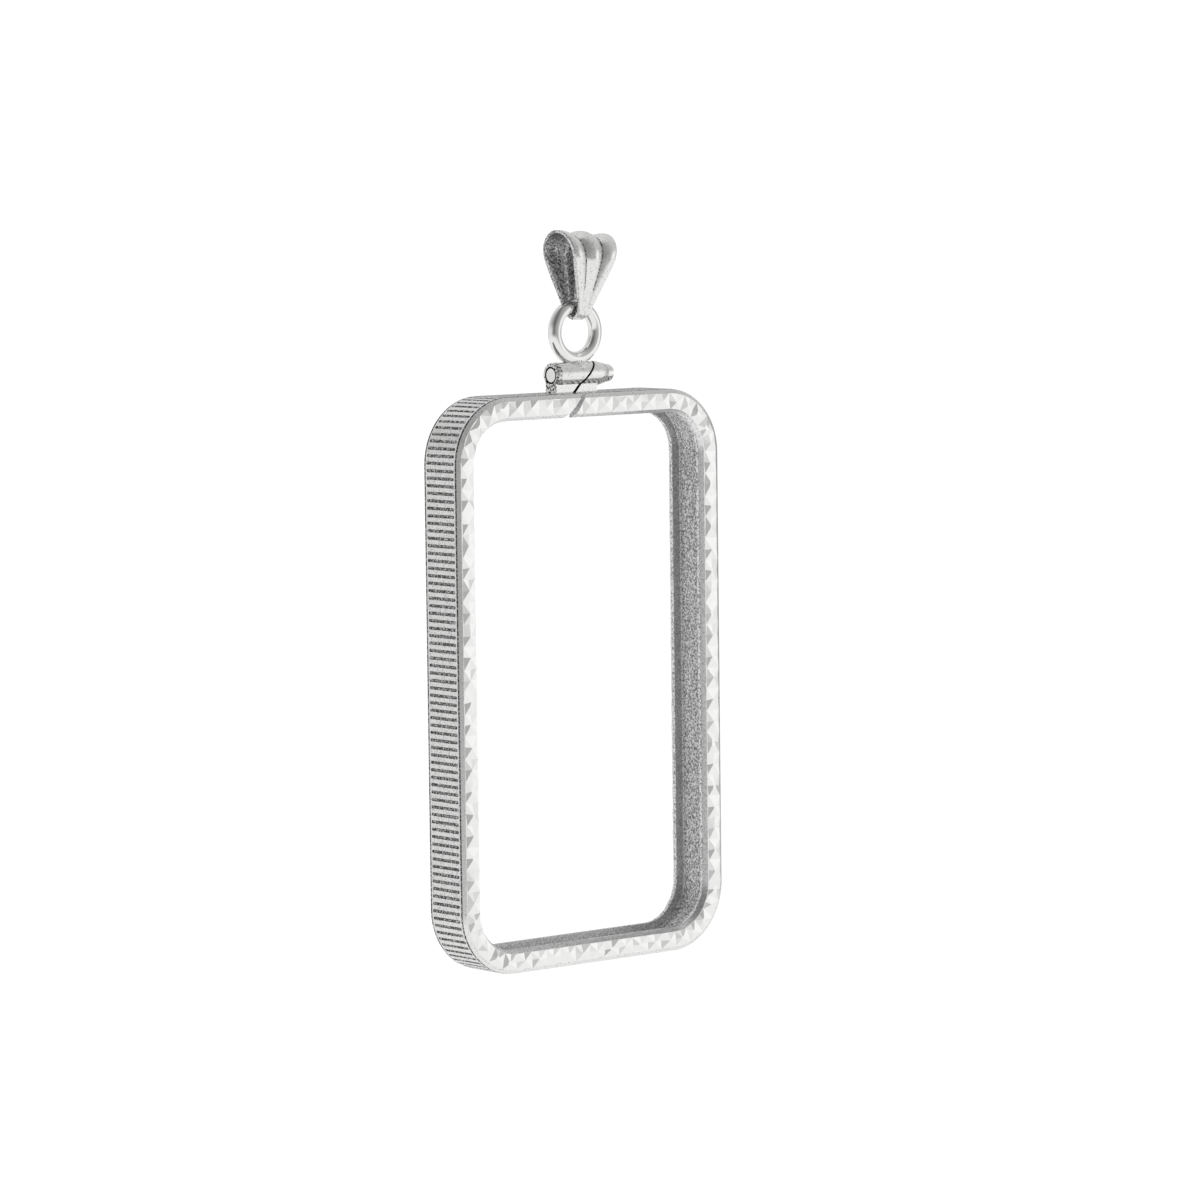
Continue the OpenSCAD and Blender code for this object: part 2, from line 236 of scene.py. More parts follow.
def looped(rows):
    """Faces between closed rows of points, each joined to the next and the last to the first."""
    count, wide = len(rows), len(rows[0])
    faces = []
    for i in range(count):
        faces += strip(i * wide, (i + 1) % count * wide, wide)
    return [p for row in rows for p in row], faces


def capped(rings, low_end, high_end):
    """Points and faces of a round solid: rings of points in order, closed to a point at each end."""
    steps = len(rings[0])
    points = [p for ring in rings for p in ring] + [low_end, high_end]
    low, high, last = len(points) - 2, len(points) - 1, (len(rings) - 1) * steps
    faces = []
    for here in range(0, last, steps):
        faces += strip(here, here + steps, steps)
    faces += [(low, (k + 1) % steps, k) for k in range(steps)]
    faces += [(high, last + k, last + (k + 1) % steps) for k in range(steps)]
    return points, faces


def circle(steps):
    """Cosine and sine of equal steps round a whole turn."""
    return [(math.cos(2 * math.pi * k / steps), math.sin(2 * math.pi * k / steps)) for k in range(steps)]


def arc(radius, degrees):
    """Points on a circle at the given angles."""
    return [(radius * math.cos(math.radians(a)), radius * math.sin(math.radians(a))) for a in degrees]


def turned(name, profile, place, material, steps=64):
    """A solid turned about Z from (radius, height) points between two ends on the axis, put in its place."""
    rings = [[(r * c, r * s, h) for c, s in circle(steps)] for r, h in profile[1:-1]]
    points, faces = capped(rings, (0, 0, profile[0][1]), (0, 0, profile[-1][1]))
    return solid(name, points, faces, [material], place=place)


def block(name, low, high, place, material):
    """A plain block between two corners, for a web or a saw cut."""
    points = [(x, y, z) for x in (low[0], high[0]) for y in (low[1], high[1]) for z in (low[2], high[2])]
    faces = [(0, 1, 3, 2), (4, 6, 7, 5), (0, 4, 5, 1), (2, 3, 7, 6), (0, 2, 6, 4), (1, 5, 7, 3)]
    return solid(name, points, faces, [material], place=place)


def plain_mesh(shape):
    """Keeps what the object's modifiers make as its own mesh."""
    bpy.context.view_layer.update()
    graph = bpy.context.evaluated_depsgraph_get()
    mesh = bpy.data.meshes.new_from_object(shape.evaluated_get(graph))
    shape.modifiers.clear()
    shape.data = mesh
    if not mesh.polygons:
        raise RuntimeError(f"{shape.name} came out empty")
    return shape


def carve(shape, operation, *tools):
    """Adds the tools to a solid or cuts them out of it, and removes them. Their faces keep their finish."""
    for tool in tools:
        modifier = shape.modifiers.new(tool.name, "BOOLEAN")
        modifier.operation = operation
        modifier.solver = "MANIFOLD"
        modifier.material_mode = "TRANSFER"
        modifier.object = tool
    plain_mesh(shape)
    for tool in tools:
        bpy.data.objects.remove(tool)


def grow(name, tree, values):
    """Runs a node tree on an empty mesh, with a value for each of its named inputs, and keeps the result."""
    made = new_object(name, bpy.data.meshes.new(name))
    modifier = made.modifiers.new(tree.name, "NODES")
    modifier.node_group = tree
    for label, value in values.items():
        modifier[tree.interface.items_tree[label].identifier] = value
    return plain_mesh(made)


def finish(shape, name, body, node, sharp=31, flat=()):
    """Shades a piece, names it, moves it from the frame's centre to the part's origin and ties it to its
    body. Edges sharper than the given angle stay sharp, and the materials named in flat keep flat faces."""
    mesh = shape.data
    mesh.name = shape.name = name
    names = [material.name for material in mesh.materials]
    mesh.set_sharp_from_angle(angle=math.radians(sharp))
    for face in mesh.polygons:
        face.use_smooth = names[face.material_index] not in flat
    mesh.transform(Matrix.Translation(centre()))
    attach(shape, body)
    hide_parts(node)


def centre():
    """The frame's centre in the part's frame, whose origin is the chain's seat in the bail."""
    size = bpy.context.scene.bezel_band
    return Vector(((FRAME_LOW.x + FRAME_HIGH.x) / 2, 0, FRAME_LOW.z + size.frame_h / 2))


def axis_height():
    """Height of the screw's axis above the frame's centre."""
    return (SCREW_LOW.z + SCREW_HIGH.z) / 2 - centre().z


def wire_height():
    """Height of the middle of the ring's top wire above the frame's centre."""
    part = bpy.context.scene.bezel_closure
    return axis_height() + part.barrel_r - part.ring_sink + part.wire_r + 2 * part.ring_r


def along_x(z):
    """Lays something that was turned about Z along X, from left to right, at a height."""
    return Matrix.Translation((0, 0, z)) @ Matrix.Rotation(math.radians(90), 4, "Y")


# Node helpers


def add(tree, kind, links=(), **settings):
    """Adds a node with its settings, and fills its sockets with values, with other nodes' outputs, or with
    the first output in use of a node that is given whole."""
    node = tree.nodes.new(kind)
    for key, value in settings.items():
        setattr(node, key, value)
    for key, value in dict(links).items():
        if isinstance(value, bpy.types.Node):
            value = next(socket for socket in value.outputs if socket.enabled)
        if isinstance(value, bpy.types.NodeSocket):
            tree.links.new(value, node.inputs[key])
        else:
            node.inputs[key].default_value = value
    return node


def new_tree(name, sockets):
    """An empty geometry tree with named inputs and one geometry output, and its inputs to link from."""
    tree = bpy.data.node_groups.new(name, "GeometryNodeTree")
    tree.is_modifier = True
    for label, kind in sockets:
        tree.interface.new_socket(label, in_out="INPUT", socket_type=kind)
    tree.interface.new_socket("Geometry", in_out="OUTPUT", socket_type="NodeSocketGeometry")
    return tree, tree.nodes.new("NodeGroupInput").outputs


def close_tree(tree, shape, material):
    """Ends a geometry tree: what it made is realized and given its material."""
    real = add(tree, "GeometryNodeRealizeInstances", {"Geometry": shape})
    dressed = add(tree, "GeometryNodeSetMaterial", {"Geometry": real, "Material": material})
    add(tree, "NodeGroupOutput", {"Geometry": dressed})
    return tree


# The band's outline


def corner_stations(size, steps):
    """Stations on the four corner arcs, clockwise as seen from the front and from the upper right corner on:
    the arc's middle, and the direction outwards there. The straight sides lie between one arc's last station
    and the next arc's first."""
    half_w, half_h = size.frame_w / 2 - size.corner_r, size.frame_h / 2 - size.corner_r
    stations = []
    for quarter, (side, end) in enumerate(((1, 1), (1, -1), (-1, -1), (-1, 1))):
        middle = Vector((side * half_w, 0, end * half_h))
        for step in range(steps + 1):
            angle = math.radians(90 - 90 * (quarter + step / steps))
            stations.append((middle, Vector((math.cos(angle), 0, math.sin(angle)))))
    return stations


def outline_curve(size, steps=48, lead=0.02 * MM):
    """The outline at the reeded edge as a closed curve, with a close pair of points at each arc's ends so
    that its direction is true up to there."""
    points = []
    for index, (middle, outward) in enumerate(corner_stations(size, steps)):
        here = middle + outward * size.corner_r
        ahead = outward.cross(Vector((0, 1, 0))) * -lead
        if index % (steps + 1) == 0:
            points.append(here - ahead)
        points.append(here)
        if index % (steps + 1) == steps:
            points.append(here + ahead)
    curve = bpy.data.curves.new("outline", "CURVE")
    curve.dimensions = "3D"
    spline = curve.splines.new("POLY")
    spline.points.add(len(points) - 1)
    for point, place in zip(spline.points, points):
        point.co = (*place, 1)
    spline.use_cyclic_u = True
    return new_object("outline", curve)


def band_core(size, finishes, steps=22, lean=0.02 * MM, crease_share=0.8, seam_share=0.6):
    """The band before it is reeded and faceted: its section, carried round the outline. The lean keeps its
    corners a little open, and the two shares are of the crease's width that its outer wall takes and of the
    seam's width that its chamfer rises."""
    face, edge = size.band_d / 2, size.reed_band_d / 2
    foot, inner = face - size.facet_rise - size.facet_rim, size.lip_w - size.bevel_w
    floor = size.lip_w - size.groove_in
    # Half the section, from the edge inwards: distance in, distance from the middle, and the finish up to the
    # next row
    rows = [
        # The crease's two walls take the groove finish, with its painted shade
        (0, edge - size.crease_w, "groove"),
        (size.crease_d, edge, "groove"),
        (lean, edge + size.crease_w * crease_share, "buffed"),
        (size.shoulder_in, foot, "cut"),
        (size.shoulder_in + lean, face, "cut"),
        (inner - lean, face, "cut"),
        (inner, foot, "bevel"),
        (size.lip_w - lean, foot - size.bevel_d, "lip"),
        (size.lip_w, foot - size.bevel_d - lean, "lip"),
        (size.lip_w, size.groove_mouth_d / 2 + lean, "lip"),
        (size.lip_w - lean, size.groove_mouth_d / 2, "wall"),
        (floor + size.seam_d * seam_share, size.groove_floor_d / 2, "lip"),
        (floor, size.groove_floor_d / 2 - size.seam_d, "channel"),
    ]
    section = [(cut, -out) for cut, out, _ in rows] + [(cut, out) for cut, out, _ in reversed(rows)]
    kinds = [kind for _, _, kind in rows] + [kind for _, _, kind in reversed(rows[:-1])] + ["land"]
    order = list(finishes)
    stations = [
        [tuple(middle + outward * (size.corner_r - cut) + Vector((0, y, 0))) for cut, y in section]
        for middle, outward in corner_stations(size, steps)
    ]
    numbers = [order.index(kind) for _ in stations for kind in kinds]
    return solid("core", *looped(stations), [finishes[kind] for kind in order], numbers)


def reed_tree(material):
    """Cutters set at equal steps along the outline, each square to it."""
    tree, given = new_tree(
        "Reeds along the edge",
        [("Outline", "NodeSocketObject"), ("Cutter", "NodeSocketObject"), ("Count", "NodeSocketInt")],
    )
    path, cutter = (
        add(tree, "GeometryNodeObjectInfo", {"Object": given[label]}).outputs["Geometry"]
        for label in ("Outline", "Cutter")
    )
    points = add(tree, "GeometryNodeCurveToPoints", {"Curve": path, "Count": given["Count"]}, mode="COUNT")
    square = add(
        tree,
        "FunctionNodeAxesToRotation",
        {"Primary Axis": points.outputs["Tangent"], "Secondary Axis": (0, 1, 0)},
        primary_axis="X",
        secondary_axis="Y",
    )
    placed = add(
        tree, "GeometryNodeInstanceOnPoints", {"Points": points, "Instance": cutter, "Rotation": square}
    )
    return close_tree(tree, placed, material)


def facet_cell(material, flap=1.6, shoulder=0.45):
    """One diamond-cut cell, 2 by 2 wide and 1 high. Its middle is the highest point, its long sides' middles
    are the lowest, and its two ends lie level between them. Eight facets join these. A flap on each long side
    takes the cut past the lip's edges."""
    rows = [-flap, -1, 0, 1, flap]
    points = [(x, y, shoulder if x else (0.0 if y else 1.0)) for y in rows for x in (-1, 0, 1)]
    middle, ring = 7, [6, 9, 10, 11, 8, 5, 4, 3]
    faces = [(middle, ring[(k + 1) % 8], ring[k]) for k in range(8)]
    faces += [(0, 1, 4, 3), (1, 2, 5, 4), (9, 10, 13, 12), (10, 11, 14, 13)]
    mesh = bpy.data.meshes.new("cell")
    mesh.from_pydata(points, [], faces)
    mesh.materials.append(material)
    return new_object("cell", mesh)


def cell_points(size):
    """A point at each cell's middle, with half the cell's length: x is the way along the outline."""
    bend = math.pi / 2 * size.corner_r
    stretches = [
        (bend, size.corner_cells),
        (size.frame_h - 2 * size.corner_r, size.side_cells),
        (bend, size.corner_cells),
        (size.frame_w - 2 * size.corner_r, size.end_cells),
    ] * 2
    places, halves, walked = [], [], 0.0
    for stretch, cells in stretches:
        for index in range(cells):
            places.append((walked + (index + 0.5) * stretch / cells, 0, 0))
            halves.append(stretch / cells / 2)
        walked += stretch
    mesh = bpy.data.meshes.new("cell_points")
    mesh.from_pydata(places, [], [])
    mesh.attributes.new("half_length", "FLOAT", "POINT").data.foreach_set("value", halves)
    return new_object("cell_points", mesh)


def facet_tree(material):
    """The cutter that leaves the facets: cells in a row, bent round the outline on both faces and closed
    outwards."""
    helpers = ("Outline", "Cell", "Cell middles")
    sizes = ("Half width", "Rise", "Low", "In", "Drift", "Clear")
    sockets = [(label, "NodeSocketObject") for label in helpers]
    sockets += [(label, "NodeSocketFloat") for label in sizes]
    tree, given = new_tree("Diamond cuts round the lips", sockets + [("Seed", "NodeSocketInt")])
    path, cell, middles = (
        add(tree, "GeometryNodeObjectInfo", {"Object": given[label]}).outputs["Geometry"] for label in helpers
    )
    half = add(tree, "GeometryNodeInputNamedAttribute", {"Name": "half_length"}, data_type="FLOAT")
    scale = add(
        tree,
        "ShaderNodeCombineXYZ",
        {"X": half.outputs["Attribute"], "Y": given["Half width"], "Z": given["Rise"]},
    )
    placed = add(tree, "GeometryNodeInstanceOnPoints", {"Points": middles, "Instance": cell, "Scale": scale})
    row = add(tree, "GeometryNodeRealizeInstances", {"Geometry": placed})
    # The row stands up on the front face, and turned the other way on the back face
    both = tree.nodes.new("GeometryNodeJoinGeometry")
    inwards = add(tree, "ShaderNodeMath", {0: given["In"], 1: -1.0}, operation="MULTIPLY")
    for turn, way in ((90, -1.0), (-90, 1.0)):
        outwards = add(tree, "ShaderNodeMath", {0: given["Low"], 1: way}, operation="MULTIPLY")
        shift = add(tree, "ShaderNodeCombineXYZ", {"Y": outwards, "Z": inwards})
        stood = add(
            tree,
            "GeometryNodeTransform",
            {"Geometry": row, "Translation": shift, "Rotation": (math.radians(turn), 0, 0)},
        )
        tree.links.new(stood.outputs["Geometry"], both.inputs["Geometry"])
    # x runs along the outline, y from front to back and z outwards
    parts = add(tree, "ShaderNodeSeparateXYZ", {"Vector": add(tree, "GeometryNodeInputPosition")})
    sample = add(
        tree,
        "GeometryNodeSampleCurve",
        {"Curves": path, "Length": parts.outputs["X"]},
        mode="LENGTH",
        use_all_curves=True,
    )
    ahead, here = sample.outputs["Tangent"], sample.outputs["Position"]
    outward = add(tree, "ShaderNodeVectorMath", {0: ahead, 1: (0, 1, 0)}, operation="CROSS_PRODUCT")
    pushed = add(tree, "ShaderNodeVectorMath", {0: outward, "Scale": parts.outputs["Z"]}, operation="SCALE")
    depth = add(tree, "ShaderNodeCombineXYZ", {"Y": parts.outputs["Y"]})
    on_edge = add(tree, "ShaderNodeVectorMath", {0: here, 1: pushed}, operation="ADD")
    bent = add(tree, "ShaderNodeVectorMath", {0: on_edge, 1: depth}, operation="ADD")
    round_frame = add(tree, "GeometryNodeSetPosition", {"Geometry": both, "Position": bent})
    sheet = add(tree, "GeometryNodeMergeByDistance", {"Geometry": round_frame, "Distance": SHEET_WELD})
    # The cutter wanders a little, less in depth than along the face
    reach = (0.5, 0.22, 0.5)
    random = add(
        tree,
        "FunctionNodeRandomValue",
        {"Min": tuple(-r for r in reach), "Max": reach, "Seed": given["Seed"]},
        data_type="FLOAT_VECTOR",
    )
    drift = add(tree, "ShaderNodeVectorMath", {0: random, "Scale": given["Drift"]}, operation="SCALE")
    loose = add(tree, "GeometryNodeSetPosition", {"Geometry": sheet, "Offset": drift})
    # Closed outwards, so that everything above the facets is cut away
    place = add(tree, "ShaderNodeSeparateXYZ", {"Vector": add(tree, "GeometryNodeInputPosition")})
    sign = add(tree, "ShaderNodeMath", {0: place.outputs["Y"]}, operation="SIGN")
    clear = add(tree, "ShaderNodeMath", {0: sign, 1: given["Clear"]}, operation="MULTIPLY")
    away = add(tree, "ShaderNodeCombineXYZ", {"Y": clear})
    raised = add(
        tree,
        "GeometryNodeExtrudeMesh",
        {"Mesh": loose, "Offset": away, "Offset Scale": 1.0, "Individual": False},
        mode="FACES",
    )
    closed = tree.nodes.new("GeometryNodeJoinGeometry")
    for shape in (raised, add(tree, "GeometryNodeFlipFaces", {"Mesh": loose})):
        tree.links.new(shape.outputs["Mesh"], closed.inputs["Geometry"])
    merged = add(tree, "GeometryNodeMergeByDistance", {"Geometry": closed, "Distance": CUTTER_WELD})
    return close_tree(tree, merged, material)


# Materials


def silver(name, colour, roughness, grain, relief, stain=None, spread=(0.35, 0.65)):
    """Sterling silver worked in one way. The grain is the size of its marks in millimetres and the relief
    their depth, and the darker grey mixed in between them, over the given spread of the noise, is a stain on
    most finishes and painted shade on the grooves, the creases, the screw's slot and the flutes' bottoms.
    Real marks of these kinds are mostly finer than the grains given here: they are drawn as coarse as they
    need to be to show."""
    material = bpy.data.materials.new("sterling_silver_" + name)
    material.use_nodes = True
    tree = material.node_tree
    shader = tree.nodes["Principled BSDF"]
    shader.inputs["Metallic"].default_value = 1.0
    shader.inputs["Roughness"].default_value = roughness
    shader.inputs["Base Color"].default_value = colour
    where = add(tree, "ShaderNodeTexCoord").outputs["Object"]
    in_mm = add(tree, "ShaderNodeMapping", {"Vector": where, "Scale": (1 / MM,) * 3})
    noise = {"Vector": in_mm, "Scale": 1 / grain, "Detail": MARK_DETAIL, "Roughness": MARK_ROUGHNESS}
    marks = add(tree, "ShaderNodeTexNoise", noise)
    bump = add(tree, "ShaderNodeBump", {"Height": marks, "Strength": 1.0, "Distance": relief * MM})
    tree.links.new(bump.outputs["Normal"], shader.inputs["Normal"])
    if stain:
        share = add(
            tree, "ShaderNodeMapRange", {"Value": marks, "From Min": spread[0], "From Max": spread[1]}
        )
        mix = {"Factor": share, "A": linear(stain), "B": colour}
        tone = add(tree, "ShaderNodeMix", mix, data_type="RGBA")
        tree.links.new(tone.outputs["Result"], shader.inputs["Base Color"])
    return material


def band_finishes():
    """The finishes of the frame: each is the same silver, worked in another way. The grooves and the bore are
    also darkened with painted shade.
    """
    tint = bpy.context.scene.bezel_finish
    return {
        # Buffed sterling: near mirror, with the faint orange peel that a felt wheel leaves
        "buffed": silver("buffed", tint.buffed, 0.1, 0.1, 0.002, "#CACACA", (0.3, 0.5)),
        # Drawn wire, polished: the ring's mirror is the cleanest on the piece
        "drawn": silver("wire", tint.buffed, 0.05, 0.6, 0.003),
        # Diamond-cut sterling: each facet a mirror of its own, with fine tool chatter
        "cut": silver("diamond_cut", tint.cut, 0.07, 0.12, 0.0015),
        # Milled sterling: bright lands, scuffed so that they break up the light
        "land": silver("milled_land", tint.land, 0.2, 0.14, 0.006, "#C4C4C4", (0.34, 0.52)),
        # Milled grooves: dull, and darkened with painted shade in their grey and in the dark grey between the
        # marks
        "groove": silver("milled_groove_painted_shade", tint.groove, 0.35, 0.16, 0.02, "#484848", (0.46, 0.64)),
        # Tumbled channel: a soft grey with fine pits, never buffed
        "channel": silver("tumbled_channel", tint.channel, 0.4, 0.15, 0.02, "#808080", (0.4, 0.6)),
        # The channel's walls, turned with a smooth tool: a more even grey than the floor
        "wall": silver("turned_wall", tint.wall, 0.36, 0.15, 0.01, "#C8C8C8", (0.4, 0.6)),
        # The lips' inner edges, scuffed by the bar: bright, with dark pits
        "lip": silver("lip", tint.land, 0.28, 0.14, 0.02, "#8A8A8A", (0.4, 0.54)),
        # The turned bevel inside the facets: a soft, even sheen beside their mirrors
        "bevel": silver("turned_bevel", tint.wall, 0.3, 0.16, 0.008, "#D0D0D0", (0.36, 0.54)),
        # Cast and pickled end of the closure: orange peel with grey pits
        "cast": silver("cast", tint.land, 0.28, 0.19, 0.05, "#303030", (0.4, 0.54)),
        # Solder drawn up round the ring's foot and buffed over: pale, with a few pits
        "solder": silver("solder", tint.buffed, 0.18, 0.14, 0.02, "#8A8A8A", (0.34, 0.46)),
        # Drawn tube of the barrel: satin rather than mirror, and a little grey where the wheel rode over it
        "barrel": silver("barrel", tint.buffed, 0.2, 0.25, 0.004, "#D2D2D2", (0.3, 0.46)),
        # The slanted saw cut: mid-grey, with the blade's fine tooth marks
        "sawn": silver("sawn_cut", tint.wall, 0.6, 0.08, 0.01),
        # The screw's bore: near black, painted shade where no light reaches in
        "bore": silver("bore", tint.bore, 0.5, 0.1, 0.01),
    }


# Operators


class BEZEL_OT_band(Operator):
    """Make the silver band with its barrel and ring"""

    bl_idname = "bezel.band"
    bl_label = "Bezel frame"

    # How far the facets' cutter reaches out from the face, and the drills past the barrel's ends
    CLEAR, DRILL_PAST = 0.5 * MM, 1 * MM
    # The barrel's right end is broken from this much over its tip's radius to this much under, in this length
    TIP_OUT, TIP_IN, TIP_L = 0.01 * MM, 0.03 * MM, 0.05 * MM
    # The slit's reach above the reeded edge, and in front of and behind the band's middle
    SLIT_TOP, SLIT_REACH = 5 * MM, 6 * MM
    # The solder's depth in the barrel, its rise, the height of its foot and its waist as a share of the wire
    SOLDER_SINK, SOLDER_RISE, SOLDER_FOOT, SOLDER_WAIST = 0.4 * MM, 0.95 * MM, 0.05 * MM, 0.9

    def execute(self, context):
        size, part = context.scene.bezel_band, context.scene.bezel_closure
        finishes = band_finishes()
        core = band_core(size, finishes)
        outline = outline_curve(size)
        # The cuts between the reeds take the groove finish, with its painted shade
        cutter = self.reed_cutter(size, finishes["groove"])
        reeds = grow(
            "reeds",
            reed_tree(finishes["groove"]),
            {"Outline": outline, "Cutter": cutter, "Count": size.reed_count},
        )
        cell = facet_cell(finishes["cut"])
        middles = cell_points(size)
        lip = size.lip_w - size.bevel_w - size.shoulder_in
        facets = grow(
            "facets",
            facet_tree(finishes["cut"]),
            {
                "Outline": outline,
                "Cell": cell,
                "Cell middles": middles,
                "Half width": lip / 2,
                "Rise": size.facet_rise,
                "Low": size.band_d / 2 - size.facet_rise,
                "In": size.shoulder_in + lip / 2,
                "Drift": size.facet_drift,
                "Clear": self.CLEAR,
                "Seed": size.seed,
            },
        )
        for helper in (outline, cutter, cell, middles):
            bpy.data.objects.remove(helper)
        carve(core, "DIFFERENCE", reeds, facets)
        carve(core, "UNION", self.web(size, part, finishes), self.barrel(part, finishes))
        carve(core, "DIFFERENCE", self.slit(size, part, finishes))
        carve(core, "UNION", self.ring(part, finishes["drawn"]), self.solder(part, finishes["solder"]))
        carve(core, "DIFFERENCE", *self.holes(part, finishes["bore"]))
        flat = (finishes["cut"].name,)
        finish(core, "bezel_frame_silver", "bezel", "bezel_frame", flat=flat)
        return {"FINISHED"}

    def reed_cutter(self, size, material):
        """A round rod with rounded ends, lying from front to back, for the cut between two reeds."""
        round_end = arc(size.reed_r, (0, 30, 60))
        half = size.reed_band_d / 2 - size.crease_w - size.reed_end - size.reed_r
        profile = (
            [(0, -half - size.reed_r)]
            + [(r, -half - h) for r, h in reversed(round_end)]
            + [(r, half + h) for r, h in round_end]
            + [(0, half + size.reed_r)]
        )
        lying = Matrix.Translation((0, 0, size.reed_lift)) @ Matrix.Rotation(math.radians(-90), 4, "X")
        return turned("cutter", profile, lying, material, 16)

    def web(self, size, part, finishes):
        """The web between the band and the barrel."""
        low = (part.web_left, -part.web_d / 2, size.frame_h / 2 - size.lip_w / 2)
        high = (part.web_right, part.web_d / 2, axis_height())
        web = block("web", low, high, Matrix.Identity(4), finishes["buffed"])
        self.rough_end(web, part, finishes["cast"])
        return web

    def rough_end(self, shape, part, material):
        """Leaves the left end of the closure as it was cast."""
        shape.data.materials.append(material)
        for face in shape.data.polygons:
            if face.center.x < part.barrel_left + part.rough_l:
                face.material_index = 1

    def barrel(self, part, finishes):
        """The barrel before it is cut and drilled: rounded on the left and tapered on the right."""
        turn, left, right = part.barrel_round, part.barrel_left, part.barrel_right
        profile = [(0, left)]
        profile += [(part.barrel_r - turn + up, left + turn - out) for out, up in arc(turn, range(0, 91, 15))]
        profile += [
            (part.barrel_r, left + part.rough_l),
            (part.barrel_r, right - part.barrel_taper),
            (part.barrel_tip_r + self.TIP_OUT, right - self.TIP_L),
            (part.barrel_tip_r - self.TIP_IN, right),
            (0, right),
        ]
        barrel = turned("barrel", profile, along_x(axis_height()), finishes["barrel"])
        self.rough_end(barrel, part, finishes["cast"])
        return barrel

    def slit(self, size, part, finishes):
        """The slanted saw cut. In the band it widens to the right on its way down, as that end stands off."""
        high, low = self.SLIT_TOP, size.lip_w + part.slit_gap
        side, reach = part.slit_gap / math.sqrt(2), self.SLIT_REACH
        corners = [
            (high - side, high),
            (-side, 0),
            (-low - side, -low),
            (-low + side + part.slit_flare, -low),
            (side, 0),
            (high + side - part.slit_close, high),
        ]
        points = [(x - part.slit_x, y, z + size.frame_h / 2) for y in (-reach, reach) for x, z in corners]
        count = len(corners)
        faces = [tuple(range(count)), tuple(range(count, 2 * count))]
        faces += [(k, (k + 1) % count, count + (k + 1) % count, count + k) for k in range(count)]
        # The crack in the barrel gets the bore's near black, painted shade in the gap, and the wedge in the
        # lips shows its sawn face
        return solid("slit", points, faces, [finishes["sawn"], finishes["bore"]], [0, 0, 1, 0, 0, 0, 1, 0])

    def ring(self, part, material, steps=96, sides=28):
        """The closed ring of round wire."""
        middle = Vector((part.ring_x, 0, wire_height() - part.ring_r))
        rows = []
        for across, up in circle(steps):
            outward = Vector((across, 0, up))
            row = []
            for c, s in circle(sides):
                reach = part.ring_r + part.wire_r * c
                row.append(tuple(middle + outward * reach + Vector((0, part.wire_r * s, 0))))
            rows.append(row)
        return solid("ring", *looped(rows), [material])

    def solder(self, part, material, steps=10):
        """The fillet that solder draws up round the ring's foot, longer along the barrel than across it."""
        low, waist = axis_height() + part.barrel_r - self.SOLDER_SINK, part.wire_r * self.SOLDER_WAIST
        profile = [(0, low), (part.foot_r, low)]
        for k in range(steps + 1):
            angle = math.radians(90 * k / steps)
            across = waist + (part.foot_r - waist) * (1 - math.sin(angle))
            profile.append((across, low + self.SOLDER_RISE * (1 - math.cos(angle)) + self.SOLDER_FOOT))
        profile.append((0, profile[-1][1]))
        longer = Matrix.Diagonal((part.foot_l / part.foot_r, 1, 1, 1))
        return turned("solder", profile, Matrix.Translation((part.ring_x, 0, 0)) @ longer, material, 48)

    def holes(self, part, material):
        """The bore for the screw, and the countersink at its left end."""
        left, right = part.barrel_left - self.DRILL_PAST, part.barrel_right + self.DRILL_PAST
        bore = [(0, left), (part.bore_r, left), (part.bore_r, right), (0, right)]
        recess_end = part.barrel_left + part.recess_d
        recess = [(0, left), (part.recess_r, left), (part.recess_r, recess_end), (0, recess_end)]
        lying = along_x(axis_height())
        # Their walls take the bore's near black: painted shade in the bore and the countersink
        return turned("bore", bore, lying, material, 48), turned("recess", recess, lying, material, 48)


